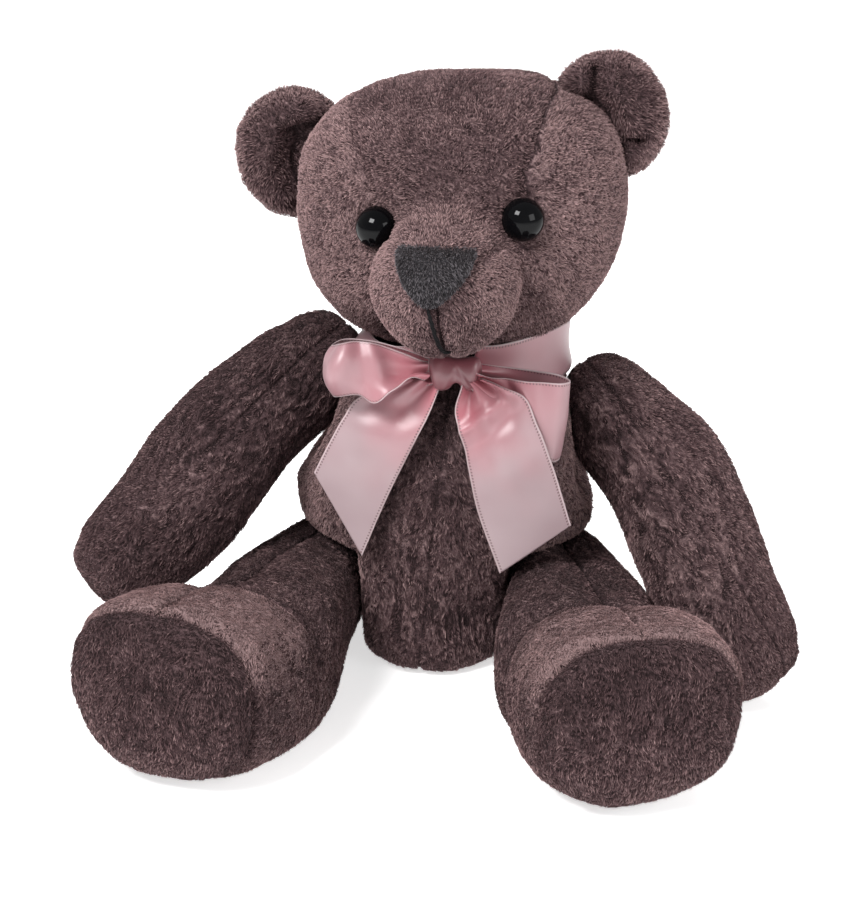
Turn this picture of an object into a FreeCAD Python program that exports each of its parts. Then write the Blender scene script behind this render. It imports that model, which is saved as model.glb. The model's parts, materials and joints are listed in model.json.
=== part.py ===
"""Jointed teddy bear, sitting: plush covers, filling, disc joints, face and ribbon bow.

Millimetres. +Z up, the bear faces -Y, +X is its own left. The origin is on the flat seat.
"""

import FreeCAD, Part
import os
from math import cos, pi, radians, sin

Vector = FreeCAD.Vector

# Driving dimensions

FABRIC = 1.5            # plush backing with its pile pressed flat
STUFFING_GAP = 0.1      # between the cover and the filling
JOINT_GAP = 0.45        # between a limb's flat root and the body

BODY_LEAN = 5.0         # the body leans towards its left
BODY_SHIFT = -2.5       # its base is this far to its right of the origin
HEAD_ROLL = -5.0        # the head leans back the other way
BODY_SEAM_Y = 4.0       # plane between the front and back panels
# height, half-width, half-depth
BODY_SECTIONS = [
    (-4, 21, 30), (5, 27, 37), (16, 33.5, 39), (28, 40, 40), (40, 42.5, 39.5), (54, 42, 37.5),
    (66, 38.5, 34), (76, 33, 29.5), (83, 28, 25), (88, 21, 19),
]

HEAD_CENTRE = Vector(5.6, -2.5, 121.5)
SKULL = (45.3, 37.0, 38.0)          # half-width, half-depth, half-height
MUZZLE_CENTRE = Vector(-1.5, -36, -8.0)
MUZZLE = (19.0, 24.5, 19.5)
NECK_BELOW_CENTRE = 35.0            # the head's flat underside
GUSSET_OUTLINE = [(9, -62), (11, -40), (24, -18), (28.5, 0), (24, 20), (10, 38)]
GUSSET_BOTTOM = -4.0

EAR_CENTRE = {"left": Vector(40.5, 2, 23), "right": Vector(-44, 2, 20)}
EAR = (16.2, 6.5, 17.5)
EAR_CUP_DEPTH = 4.0
EAR_CUP = 0.6           # its width, as a share of the ear's

EYE_PLACE = Vector(19.2, -34.0, 5.9)
EYE_RADIUS = 6.0
EYE_TURN = 0.55         # an eye faces this share of its place to the side
EYE_STEM_RADIUS = 1.6
EYE_STEM = 9.0
EYE_WASHER = (-7.0, -5.6)           # along the stem
EYE_WASHER_RADIUS = 4.5

NOSE_HALF_WIDTH = 9.5
NOSE_TOP = 5.0
NOSE_BOTTOM = -9.0
NOSE_CORNER = 2.2       # its upper corners are cut by this much
NOSE_TIP = 1.5
NOSE_THICKNESS = 2.0
MOUTH_HALF_WIDTH = 0.9
MOUTH_BOTTOM = -25.0
MOUTH_DRIFT = 3.0       # the line runs towards the left
MOUTH_THICKNESS = 0.8

# centre of an arm's round top, in the body's frame
SHOULDER = {"left": Vector(42.2, -1.0, 69.8), "right": Vector(-41.0, -1.0, 72.5)}
SHOULDER_TILT = {"left": 8.0, "right": 10.0}        # each joint's axis rises this much
SHOULDER_TURN = {"left": 10.0, "right": 0.0}        # and points this far back
ARM_ROOT = 10.5                         # from that centre to the arm's flat root
ARM_PAW = {"left": Vector(86, -38, 20.3), "right": Vector(-82.5, -50, 36.5)}
# along the arm, half-thickness
ARM_SECTIONS = [
    (-15, 4), (-13.5, 8), (-9, 12.2), (0, 15), (18, 15.8), (40, 15.6), (58, 15.0), (72, 14.4),
    (82, 12.4), (88, 8), (89.5, 4),
]

HIP = Vector(31.5, -2, 15.6)            # centre of a leg's round root
LEG_ROOT = 11.0
LEG_SPLAY = {"left": 15.5, "right": 14.5}
# along the leg, height of the middle, half-width, half-height
LEG_SECTIONS = [
    (-15.2, 15.6, 4, 4), (-13.5, 15.6, 8.2, 8.2), (-9, 15.6, 12.4, 12.6), (0, 15.6, 15, 15.5),
    (22, 16.4, 18.6, 16.3), (42, 18.8, 22.7, 18.7), (62, 21.4, 25.5, 21.3), (80, 23.8, 26.3, 23.6),
    (95, 25.2, 26, 24.8), (106, 25.8, 25, 24.2), (112.5, 26.3, 22, 21.2), (116, 26.5, 16.5, 16),
]
SOLE_START = 107.0                      # the sole's seam, along the leg
LEG_SQUARENESS = 0.4                    # a sitting leg is pressed on the ground
SQUARE_FROM = 45.0                      # full squareness from here on

SHOULDER_POCKET = 26.0                  # flattens the body's side behind an arm
ARM_SWEEP = 16.2                        # the round that an arm's root turns in
HIP_POCKET = 16.4
POCKET_LENGTH = 40.0
THIGH_TOP = 33.0                        # the belly stays above this over a thigh

LIMB_DISC_RADIUS = 9.0
NECK_DISC_RADIUS = 12.5
DISC_THICKNESS = 2.0
DISC_GAP = 0.05         # between a limb's cover and its disc
STEM_RADIUS = 2.5
STEM_IN_DISC = 0.5      # the stem reaches this far into its disc
RUNNING_GAP = 0.06
CLEAR = 0.02            # between a part and the cover it is sewn on
WASHER_THICKNESS = 1.6
WASHER_GAP = 0.1        # on both faces of a washer
LOCK_RADIUS = 5.0
LOCK_THICKNESS = 2.5

RIBBON = 0.9
RIBBON_GAP = 0.3
BAND_BOTTOM = (80.5, 30.2, 27.6)        # height, half-width, half-depth
BAND_TOP = (92.0, 25.0, 22.4)
BAND_ABOVE_NECK = 0.7
KNOT_CENTRE = Vector(6.5, -33.8, 84.8)
KNOT = (14.0, 7.6, 10.0)
KNOT_ROUND = 2.0
LOOP_CENTRE = {"right": Vector(-15.9, -36.6, 85.2), "left": Vector(26.6, -32.2, 76.5)}
LOOP = {"right": (15.0, 5.8, 6.4), "left": (12.6, 4.8, 11.0)}
TAIL_OUTLINE = {
    "right": [(-17, 77.3), (1.5, 77.3), (-17.4, 37.5), (-30, 61)],
    "left": [(9, 79), (17, 79), (27.5, 75.5), (33, 63), (37.8, 45), (19.7, 33), (13, 54)],
}
# distance in front of the origin at the height of the upper and of the lower end
TAIL_FRONT = {"right": ((77, 34.6), (38, 42.2)), "left": ((84, 37.9), (33, 43.0))}

RING_POINTS = 12
SEAM_TURN = 60.0         # keeps a ball's own seam off the planes that cut it
FAR = 400.0

X, Y, Z = Vector(1, 0, 0), Vector(0, 1, 0), Vector(0, 0, 1)
BODY_FRAME = FreeCAD.Placement(Vector(BODY_SHIFT, 0, 0), FreeCAD.Rotation(Y, BODY_LEAN))
HEAD_FRAME = FreeCAD.Placement(HEAD_CENTRE, FreeCAD.Rotation(Y, HEAD_ROLL))
NECK_AXIS = HEAD_FRAME.Rotation.multVec(Z)
NECK = HEAD_FRAME.multVec(Vector(0, 0, -NECK_BELOW_CENTRE))
SIDES = {"left": 1, "right": -1}


# Shapes

def squared(value, power):
    return (1 if value >= 0 else -1) * abs(value) ** (2 / power)


def ring(centre, u, v, half_u, half_v, power=2.0):
    """A closed curve: an ellipse at power 2, squarer above it."""
    points = []
    for i in range(RING_POINTS):
        turn = 2 * pi * (i + 0.5) / RING_POINTS
        across, rise = squared(cos(turn), power), squared(sin(turn), power)
        points.append(centre + u * (half_u * across) + v * (half_v * rise))
    curve = Part.BSplineCurve()
    curve.interpolate(points, PeriodicFlag=True)
    return Part.Wire(curve.toShape())


def limb(origin, along, sections, inset=0.0, squareness=0.0):
    """Loft of ellipses across the direction along.

    sections holds (distance, rise, half-width, half-height). inset brings every face in.
    squareness is added to the power of the sections, gradually, past the joint.
    """
    u = along.cross(Z).normalize()
    v = u.cross(along)
    low, high = sections[0][0], sections[-1][0]
    middle, half = (low + high) / 2, (high - low) / 2
    wide = max(s[2] for s in sections)
    tall = max(s[3] for s in sections)
    wires = []
    for distance, rise, half_u, half_v in sections:
        place = middle + (distance - middle) * (half - inset) / half
        power = 2 + squareness * min(1, max(0, distance / SQUARE_FROM))
        wires.append(ring(
            origin + along * place + v * rise, u, v,
            half_u * (wide - inset) / wide, half_v * (tall - inset) / tall, power))
    return Part.makeLoft(wires, True)


def ellipsoid(frame, centre, radii, inset=0.0):
    ball = Part.makeSphere(1.0)
    ball.rotate(Vector(), Z, SEAM_TURN)
    matrix = FreeCAD.Matrix()
    matrix.scale(*[r - inset for r in radii])
    shape = ball.transformGeometry(matrix)
    shape.translate(centre)
    shape.Placement = frame.multiply(shape.Placement)
    return shape


def beyond(point, normal):
    """A large block filling the side of the plane that normal points to."""
    block = Part.makeBox(2 * FAR, 2 * FAR, FAR, Vector(-FAR, -FAR, 0))
    block.Placement = FreeCAD.Placement(point, FreeCAD.Rotation(Z, normal))
    return block


def rod(point, axis, start, end, radius):
    return Part.makeCylinder(radius, end - start, point + axis * start, axis)


def prism(frame, outline, bottom, top):
    """A vertical prism on an outline of (x, y) points in the given frame."""
    points = [Vector(x, y, bottom) for x, y in outline]
    face = Part.Face(Part.makePolygon(points + points[:1]))
    shape = face.extrude(Vector(0, 0, top - bottom))
    shape.Placement = frame
    return shape


def save(name, shape):
    solids = shape.Solids
    shape = solids[0] if len(solids) == 1 else Part.makeCompound(solids)
    if not solids or not shape.isValid():
        raise ValueError(f"{name} is not a valid solid")
    shape.exportStep(os.path.join("parts", name + ".step"))
    print(f"{name:24s} {len(solids)} solids {shape.Volume / 1000:9.3f} cm3")


# Disc joints: everything is placed along the joint's axis, from the flat root of the limb

DISC_START = FABRIC + DISC_GAP
WASHER_FRONT = -(JOINT_GAP + FABRIC + WASHER_GAP)
WASHER_BACK = WASHER_FRONT - WASHER_THICKNESS
LOCK_FRONT = WASHER_BACK - WASHER_GAP
LOCK_BACK = LOCK_FRONT - LOCK_THICKNESS


def joint_disc(root, axis, radius):
    disc = rod(root, axis, DISC_START, DISC_START + DISC_THICKNESS, radius)
    stem = rod(root, axis, LOCK_BACK, DISC_START + STEM_IN_DISC, STEM_RADIUS)
    return disc.fuse(stem).removeSplitter()


def joint_washer(root, axis, radius):
    washer = rod(root, axis, WASHER_BACK, WASHER_FRONT, radius)
    return washer.cut(stem_hole(root, axis))


def joint_lock(root, axis):
    return rod(root, axis, LOCK_BACK, LOCK_FRONT, LOCK_RADIUS).cut(
        rod(root, axis, LOCK_BACK - 1, LOCK_FRONT + 1, STEM_RADIUS))


def stem_hole(root, axis):
    return rod(root, axis, LOCK_BACK - 1, DISC_START + 1, STEM_RADIUS + RUNNING_GAP)


def limb_cavity(root, axis, radius):
    return rod(root, axis, -1, DISC_START + DISC_THICKNESS + STUFFING_GAP, radius + STUFFING_GAP)


def body_cavity(root, axis, radius):
    washers = rod(root, axis, WASHER_BACK - STUFFING_GAP, 0, radius + STUFFING_GAP)
    lock = rod(root, axis, LOCK_BACK - STUFFING_GAP, 0, LOCK_RADIUS + STUFFING_GAP)
    return washers.fuse(lock)


def save_joint(name, root, axis, radius):
    save(name + "_disc", joint_disc(root, axis, radius))
    save(name + "_washer", joint_washer(root, axis, radius))
    save(name + "_lock", joint_lock(root, axis))


# Arms and legs

def mirrored(vector, side):
    return Vector(vector.x * SIDES[side], vector.y, vector.z)


def shoulder(side):
    """The centre of the arm's round top, and the joint's axis out of the body."""
    tilt, turn = radians(SHOULDER_TILT[side]), radians(SHOULDER_TURN[side])
    outward = Vector(cos(tilt) * cos(turn), cos(tilt) * sin(turn), sin(tilt))
    axis = BODY_FRAME.Rotation.multVec(mirrored(outward, side))
    return BODY_FRAME.multVec(SHOULDER[side]), axis


def hip(side):
    return mirrored(HIP, side), X * SIDES[side]


def save_limb_panels(name, cover, middle, across):
    """Two panels that meet at the plane through middle, which across is square to."""
    far_side = beyond(middle, across)
    save(name + "_outer_panel", cover.common(far_side))
    save(name + "_inner_panel", cover.cut(far_side))


def make_arm(side):
    centre, axis = shoulder(side)
    root = centre - axis * ARM_ROOT
    along = (ARM_PAW[side] - centre).normalize()
    sections = [(s, 0, r, r) for s, r in ARM_SECTIONS]
    outer = limb(centre, along, sections).cut(beyond(root, axis * -1))
    inner = limb(centre, along, sections, FABRIC).cut(beyond(root + axis * FABRIC, axis * -1))
    filling = limb(centre, along, sections, FABRIC + STUFFING_GAP)
    filling = filling.cut(beyond(root + axis * (FABRIC + STUFFING_GAP), axis * -1))
    name = f"arm_{side}"
    cover = outer.cut(inner).cut(stem_hole(root, axis))
    save_limb_panels(name, cover, centre, along.cross(axis.cross(along)))
    save(name + "_stuffing", filling.cut(limb_cavity(root, axis, LIMB_DISC_RADIUS)))
    save_joint(f"shoulder_{side}", root, axis, LIMB_DISC_RADIUS)


def make_leg(side):
    centre, axis = hip(side)
    root = centre - axis * LEG_ROOT
    splay = radians(LEG_SPLAY[side])
    along = mirrored(Vector(sin(splay), -cos(splay), 0), side)
    origin = Vector(centre.x, centre.y, 0)
    square = LEG_SQUARENESS
    outer = limb(origin, along, LEG_SECTIONS, 0, square).cut(beyond(root, axis * -1))
    inner = limb(origin, along, LEG_SECTIONS, FABRIC, square)
    inner = inner.cut(beyond(root + axis * FABRIC, axis * -1))
    filling = limb(origin, along, LEG_SECTIONS, FABRIC + STUFFING_GAP, square)
    filling = filling.cut(beyond(root + axis * (FABRIC + STUFFING_GAP), axis * -1))
    sole_side = beyond(origin + along * SOLE_START, along)
    cover = outer.cut(inner).cut(stem_hole(root, axis))
    name = f"leg_{side}"
    save(name + "_sole", cover.common(sole_side))
    save_limb_panels(name, cover.cut(sole_side), origin, along.cross(Z) * -SIDES[side])
    save(name + "_stuffing", filling.cut(limb_cavity(root, axis, LIMB_DISC_RADIUS)))
    save_joint(f"hip_{side}", root, axis, LIMB_DISC_RADIUS)


# Body

def limb_pocket(root, axis, radius, inset):
    """The room that a limb's round root needs, brought further in by inset."""
    return rod(root, axis, -(JOINT_GAP + inset), POCKET_LENGTH, radius + inset)


def hip_room(side, inset):
    """The room a leg sweeps, from sitting forwards to hanging straight down."""
    centre, axis = hip(side)
    root = centre - axis * LEG_ROOT
    outside = beyond(root - axis * (JOINT_GAP + inset), axis)
    front = beyond(Vector(0, centre.y, 0), Y * -1)
    front = front.common(beyond(Vector(0, 0, THIGH_TOP + inset), Z * -1))
    under = beyond(Vector(0, centre.y + HIP_POCKET + inset, 0), Y * -1)
    under = under.common(beyond(centre, Z * -1))
    return [
        limb_pocket(root, axis, HIP_POCKET, inset), outside.common(front), outside.common(under)]


def body_solid(inset):
    wide = max(half_x for _, half_x, _ in BODY_SECTIONS)
    deep = max(half_y for _, _, half_y in BODY_SECTIONS)
    wires = []
    for z, half_x, half_y in BODY_SECTIONS:
        wires.append(ring(
            Vector(0, 0, z), X, Y,
            half_x * (wide - inset) / wide, half_y * (deep - inset) / deep))
    solid = Part.makeLoft(wires, True)
    solid.Placement = BODY_FRAME
    solid = solid.cut(beyond(Vector(0, 0, inset), Z * -1))
    solid = solid.cut(beyond(NECK - NECK_AXIS * (JOINT_GAP + inset), NECK_AXIS))
    for side in SIDES:
        centre, axis = shoulder(side)
        solid = solid.cut(limb_pocket(centre - axis * ARM_ROOT, axis, SHOULDER_POCKET, inset))
        for room in hip_room(side, inset):
            solid = solid.cut(room)
    return solid


def make_body():
    cover = body_solid(0).cut(body_solid(FABRIC))
    filling = body_solid(FABRIC + STUFFING_GAP)
    joints = []
    for side in SIDES:
        centre, axis = shoulder(side)
        joints.append((centre - axis * ARM_ROOT, axis, LIMB_DISC_RADIUS))
        centre, axis = hip(side)
        joints.append((centre - axis * LEG_ROOT, axis, LIMB_DISC_RADIUS))
    joints.append((NECK, NECK_AXIS, NECK_DISC_RADIUS))
    for root, axis, radius in joints:
        cover = cover.cut(stem_hole(root, axis))
        filling = filling.cut(body_cavity(root, axis, radius))
    turn = BODY_FRAME.Rotation
    left = beyond(BODY_FRAME.Base, turn.multVec(X))
    back = beyond(Vector(0, BODY_SEAM_Y, 0), Y)
    for end, half in (("front", cover.cut(back)), ("back", cover.common(back))):
        save(f"body_{end}_left_panel", half.common(left))
        save(f"body_{end}_right_panel", half.cut(left))
    save("body_stuffing", filling)
    save_joint("neck", NECK, NECK_AXIS, NECK_DISC_RADIUS)


# Head

def head_balls(inset):
    return (
        ellipsoid(HEAD_FRAME, Vector(), SKULL, inset),
        ellipsoid(HEAD_FRAME, MUZZLE_CENTRE, MUZZLE, inset))


def head_solid(inset):
    skull, muzzle = head_balls(inset)
    return skull.fuse(muzzle).cut(beyond(NECK + NECK_AXIS * inset, NECK_AXIS * -1))


def clear_of_head(shape):
    skull, muzzle = head_balls(-CLEAR)
    return shape.cut(skull).cut(muzzle)


def eye_place(side):
    place = HEAD_FRAME.multVec(mirrored(EYE_PLACE, side))
    outward = mirrored(Vector(EYE_PLACE.x * EYE_TURN, EYE_PLACE.y, EYE_PLACE.z), side)
    return place, HEAD_FRAME.Rotation.multVec(outward).normalize()


def face_prism(outline):
    """A prism along the head's depth on an outline of (x, z) points."""
    points = [Vector(x, MUZZLE_CENTRE.y, z) for x, z in outline]
    face = Part.Face(Part.makePolygon(points + points[:1]))
    shape = face.extrude(Y * -FAR)
    shape.Placement = HEAD_FRAME
    return shape


def make_head():
    cover = head_solid(0).cut(head_solid(FABRIC)).cut(stem_hole(NECK, NECK_AXIS))
    filling = head_solid(FABRIC + STUFFING_GAP).cut(
        limb_cavity(NECK, NECK_AXIS, NECK_DISC_RADIUS))
    for side in SIDES:
        place, outward = eye_place(side)
        stem = rod(place, outward, -EYE_STEM, 0, EYE_STEM_RADIUS)
        ball = Part.makeSphere(EYE_RADIUS, place)
        cover = cover.cut(rod(place, outward, -EYE_STEM, EYE_RADIUS, EYE_STEM_RADIUS + RUNNING_GAP))
        save(f"eye_{side}", clear_of_head(ball).fuse(stem).removeSplitter())
        washer = rod(place, outward, EYE_WASHER[0], EYE_WASHER[1], EYE_WASHER_RADIUS)
        save(f"eye_{side}_washer", washer.cut(stem))
        filling = filling.cut(rod(
            place, outward, EYE_WASHER[0] - STUFFING_GAP, EYE_RADIUS,
            EYE_WASHER_RADIUS + STUFFING_GAP))
        filling = filling.cut(rod(
            place, outward, -EYE_STEM - STUFFING_GAP, 0, EYE_STEM_RADIUS + STUFFING_GAP))
    outline = GUSSET_OUTLINE + [(-x, y) for x, y in reversed(GUSSET_OUTLINE)]
    strip = prism(HEAD_FRAME, outline, GUSSET_BOTTOM, FAR)
    save("head_gusset", cover.common(strip))
    sides = cover.cut(strip)
    left = beyond(HEAD_CENTRE, HEAD_FRAME.Rotation.multVec(X))
    save("head_left_panel", sides.common(left))
    save("head_right_panel", sides.cut(left))
    save("head_stuffing", filling)


def make_ears():
    width, depth, height = EAR
    for side in SIDES:
        centre = EAR_CENTRE[side]
        ear = clear_of_head(ellipsoid(HEAD_FRAME, centre, EAR))
        cup = ellipsoid(
            HEAD_FRAME, centre + Vector(0, -depth, 0),
            (width * EAR_CUP, EAR_CUP_DEPTH, height * EAR_CUP))
        back = beyond(HEAD_FRAME.multVec(centre), Y)
        save(f"ear_{side}_front", ear.cut(back).cut(cup))
        save(f"ear_{side}_back", ear.common(back))


def on_muzzle(outline, thickness):
    """A patch of the given thickness on the muzzle, x measured from the muzzle's middle."""
    layer = clear_of_head(ellipsoid(HEAD_FRAME, MUZZLE_CENTRE, MUZZLE, -thickness))
    return layer.common(face_prism([(x + MUZZLE_CENTRE.x, z) for x, z in outline]))


def make_face():
    wide, top, low = NOSE_HALF_WIDTH, NOSE_TOP, NOSE_BOTTOM
    narrow, shoulder_z = wide - NOSE_CORNER, top - NOSE_CORNER
    save("nose", on_muzzle(
        [(-wide, shoulder_z), (-narrow, top), (narrow, top), (wide, shoulder_z),
         (NOSE_TIP, low), (-NOSE_TIP, low)], NOSE_THICKNESS))
    half, start = MOUTH_HALF_WIDTH, low - RUNNING_GAP
    save("mouth_stitch", on_muzzle(
        [(-half, start), (half, start), (MOUTH_DRIFT + half, MOUTH_BOTTOM),
         (MOUTH_DRIFT - half, MOUTH_BOTTOM)], MOUTH_THICKNESS))


# Ribbon

def make_ribbon():
    band = []
    for extra in (0, RIBBON):
        wires = [ring(Vector(0, 0, z), X, Y, a + extra, b + extra) for z, a, b in
                 (BAND_BOTTOM, BAND_TOP)]
        shape = Part.makeLoft(wires, True, True)
        shape.Placement = BODY_FRAME
        band.append(shape)
    shape = band[1].cut(band[0]).cut(beyond(NECK + NECK_AXIS * BAND_ABOVE_NECK, NECK_AXIS))
    shape = shape.cut(body_solid(-RIBBON_GAP))
    for side in SIDES:
        centre, axis = shoulder(side)
        shape = shape.cut(limb_pocket(centre - axis * ARM_ROOT, axis, ARM_SWEEP, 0))
    save("ribbon_neck_band", max(shape.Solids, key=lambda solid: solid.Volume))
    knot = Part.makeBox(*KNOT, KNOT_CENTRE - Vector(*KNOT) / 2)
    save("ribbon_knot", knot.makeFillet(KNOT_ROUND, knot.Edges))
    for side in SIDES:
        ball = ellipsoid(FreeCAD.Placement(), LOOP_CENTRE[side], LOOP[side])
        save(f"ribbon_loop_{side}", ball)
        (z1, front1), (z2, front2) = TAIL_FRONT[side]
        slope = (front2 - front1) / (z2 - z1)
        points = [Vector(x, -(front1 + slope * (z - z1)), z) for x, z in TAIL_OUTLINE[side]]
        face = Part.Face(Part.makePolygon(points + points[:1]))
        save(f"ribbon_tail_{side}", face.extrude(Vector(0, -RIBBON, 0)))


os.makedirs("parts", exist_ok=True)
make_body()
make_head()
make_ears()
make_face()
for side in SIDES:
    make_arm(side)
    make_leg(side)
make_ribbon()
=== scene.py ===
"""Looks of the jointed teddy bear: plush covers with their pile, face, satin bow and studio.

Shapes are worked out in millimetres, +Z up, the bear faces -Y and +X is its own left.
"""
import json
import math

import bpy
import numpy as np
import openvdb
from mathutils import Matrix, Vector


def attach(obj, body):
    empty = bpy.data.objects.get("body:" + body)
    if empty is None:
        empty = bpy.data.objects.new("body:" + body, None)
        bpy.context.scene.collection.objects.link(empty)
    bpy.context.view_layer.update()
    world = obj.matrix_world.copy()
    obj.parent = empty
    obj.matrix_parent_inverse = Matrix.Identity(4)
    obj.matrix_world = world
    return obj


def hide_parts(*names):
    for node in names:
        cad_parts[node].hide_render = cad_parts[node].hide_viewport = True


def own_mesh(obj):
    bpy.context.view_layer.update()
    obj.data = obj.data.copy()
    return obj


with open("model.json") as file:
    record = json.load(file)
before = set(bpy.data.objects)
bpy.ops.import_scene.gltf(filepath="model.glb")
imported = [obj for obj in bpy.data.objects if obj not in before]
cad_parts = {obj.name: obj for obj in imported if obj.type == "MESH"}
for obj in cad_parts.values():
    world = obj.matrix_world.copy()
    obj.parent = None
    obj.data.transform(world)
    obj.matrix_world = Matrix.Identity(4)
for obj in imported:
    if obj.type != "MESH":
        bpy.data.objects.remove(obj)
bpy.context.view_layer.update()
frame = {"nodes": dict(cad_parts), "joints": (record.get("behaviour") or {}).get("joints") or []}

MM = 0.001
PILE_INSET = 0.4       # the pile stands on the cover, which is this far inside the toy's outline
PILE_DENSITY = 8.5     # strands to a square millimetre
PILE_RADIUS = 0.07
VOXEL = 1.25
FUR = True

X, Y, Z = np.eye(3)


# Numbers and fields

def lattice(cell, seed):
    """Repeatable values from -1 to 1 at whole-number points."""
    n = cell[:, 0] * 374761393 + cell[:, 1] * 668265263 + cell[:, 2] * 1440662683 + seed * 974634777
    n = n & 0xFFFFFFFF
    n = ((n ^ (n >> 13)) * 1274126177) & 0xFFFFFFFF
    n = n ^ (n >> 16)
    return n / 2147483648.0 - 1


def noise(points, size, seed=0):
    """Smooth noise from -1 to 1 with features about size across."""
    q = points / size + 100.37 * (seed + 1)
    cell = np.floor(q).astype(np.int64)
    f = q - cell
    f = f * f * f * (f * (f * 6 - 15) + 10)
    total = np.zeros(len(points))
    for corner in np.ndindex(2, 2, 2):
        weight = np.prod(np.where(corner, f, 1 - f), axis=1)
        total += weight * lattice(cell + np.array(corner), seed)
    return total


def noise_vectors(points, size, seed=0):
    return np.stack([noise(points, size, seed + i) for i in range(3)], 1)


def unit(vectors):
    return vectors / np.maximum(np.linalg.norm(vectors, axis=-1, keepdims=True), 1e-9)


def bump(distance, width):
    return np.exp(-(distance / width) ** 2)


def join(a, b, soft):
    """The union of two fields, rounded where they meet."""
    h = np.clip(0.5 + 0.5 * (b - a) / soft, 0, 1)
    return b + (a - b) * h - soft * h * (1 - h)


def both(a, b, soft):
    return -join(-a, -b, soft)


def ball(points, centre, radii):
    q = (points - centre) / radii
    k = np.linalg.norm(q, axis=1)
    return k * (k - 1) / np.maximum(np.linalg.norm(q / radii, axis=1), 1e-6)


def smooth_curve(x, knots, values):
    """A smooth curve through the knots, flat beyond its ends."""
    knots, values = np.array(knots, float), np.array(values, float)
    slopes = np.gradient(values, knots)
    x = np.clip(x, knots[0], knots[-1])
    i = np.clip(np.searchsorted(knots, x) - 1, 0, len(knots) - 2)
    h = knots[i + 1] - knots[i]
    t = (x - knots[i]) / h
    return ((1 + 2 * t) * (1 - t) ** 2 * values[i] + t * (1 - t) ** 2 * h * slopes[i]
            + t * t * (3 - 2 * t) * values[i + 1] + t * t * (t - 1) * h * slopes[i + 1])


def turned(angle):
    """Columns are the axes of a frame turned about Y by angle degrees."""
    c, s = math.cos(math.radians(angle)), math.sin(math.radians(angle))
    return np.array([[c, 0, s], [0, 1, 0], [-s, 0, c]])


class Seat:
    """A frame of its own: local() takes points into it and out() takes them back."""

    def __init__(self, origin, turn):
        self.origin, self.turn = np.array(origin, float), turn

    def local(self, points):
        return (points - self.origin) @ self.turn

    def out(self, points):
        return np.asarray(points) @ self.turn.T + self.origin


# The bear's own dimensions, as in the CAD

BODY = Seat((-2.5, 0, 0), turned(5))
HEAD = Seat((5.6, -2.5, 121.5), turned(-5))
NECK_AXIS = HEAD.turn @ Z
HEAD_BASE = -35        # height of its flat base in its own frame
NECK = HEAD.out((0, 0, HEAD_BASE))
JOINT_GAP = 0.45
BODY_HEIGHTS = (-4, 5, 16, 28, 40, 54, 66, 76, 83, 88, 92)
BODY_HALF_X = (21, 27, 33.5, 40, 42.5, 42, 38.5, 33, 28, 23, 19)
BODY_HALF_Y = (30, 37, 39, 40, 39.5, 37.5, 34, 29.5, 25, 21, 17)
SKULL = np.array((45.3, 37.0, 38.0))
MUZZLE = np.array((19.0, 24.5, 19.5))
MUZZLE_CENTRE = np.array((-1.5, -36.0, -8.0))
# where the filling is firm or slack: middle, width and how far out it pushes
HEAD_LUMPS = (((-25, -5, 30), 18, 1.1), ((42, -5, -15), 17, -1.9), ((-34, -10, -25), 13, 1.3))
GUSSET_Y = (-66, -60, -54, -48, -40, -34, -29, -23, -15, 0, 20, 38, 50)
GUSSET_X = (7.6, 7.8, 8.6, 11.4, 14.4, 17.6, 22, 24.2, 25.6, 27, 22.5, 10, 5)
EYE = np.array((19.2, -34.0, 5.9))
EAR_CENTRE = {"left": (40, 2, 24), "right": (-45, 2, 19)}
EAR_SIZE = {"left": (16.6, 6.8, 18.2), "right": (17.2, 6.8, 18.8)}
# each ear's pinched folds, from its middle
EAR_FOLDS = {"left": (((-2.6, 12.5), (-4.2, -2.5)), ((-3.2, -4.6), (3, -7.4)), ((3, -7.4), (8, -6.8))),
             "right": (((-1.0, 6.4), (8, 8.4)), ((0.6, 5.0), (1.6, -3)), ((1.6, -3), (-0.8, -14)))}
PAW = {"left": (86, -38, 20.3), "right": (-82.5, -50, 36.5)}
ARM_BOW = {"left": 3.4, "right": 2.8}
ARM_HOOK = {"left": 5.2, "right": 2.6}     # how far its paw end bends back in
ARM_TOP = {"left": 2.4, "right": 0.2}      # how much fuller it is below the shoulder
ARM_BELLY = 4.4         # how much fuller its inner side is at the elbow
ARM_ROOT = 10.5
ARM_ALONG = (-15, -13.5, -9, 0, 18, 40, 58, 72, 82, 88, 89.5)
ARM_RADIUS = (4, 8, 12.2, 15, 15.8, 15.7, 15.0, 14.4, 12.4, 8, 4)
HIP = (31.5, -2, 15.6)
LEG_ROOT = 11.0
LEG_ALONG = (-15.2, -13.5, -9, 0, 22, 42, 62, 80, 95, 106, 112.5, 116)
LEG_RISE = (15.6, 15.6, 15.6, 15.6, 16.4, 18.8, 21.4, 23.8, 25.2, 25.8, 26.3, 26.5)
LEG_HALF_X = (4, 8.2, 12.4, 15, 18.6, 22.7, 25.5, 26.3, 26, 25, 22, 16.5)
LEG_HALF_Z = (4, 8.2, 12.6, 15.5, 16.3, 18.7, 21.3, 23.6, 24.8, 24.2, 21.2, 16)
LEG_SPLAY = {"left": 15.5, "right": 14.5}
LEG_CALF = {"left": 4.2, "right": 5.4}     # how much fuller its inner side is
LEG_WAIST = {"left": 5.0, "right": 8.0}    # how far its outer side draws in above the foot
LEG_END = 116.0
SOLE_START = 107.0
SIDES = {"left": 1, "right": -1}
JOINTS = {j["name"]: j for j in frame["joints"]}


def joint(name, side=1):
    """A joint's place in millimetres and its axis, pointing out of the body."""
    return np.array(JOINTS[name]["pos_m"]) / MM, np.array(JOINTS[name]["axis"]) * side


# Meshes

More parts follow.
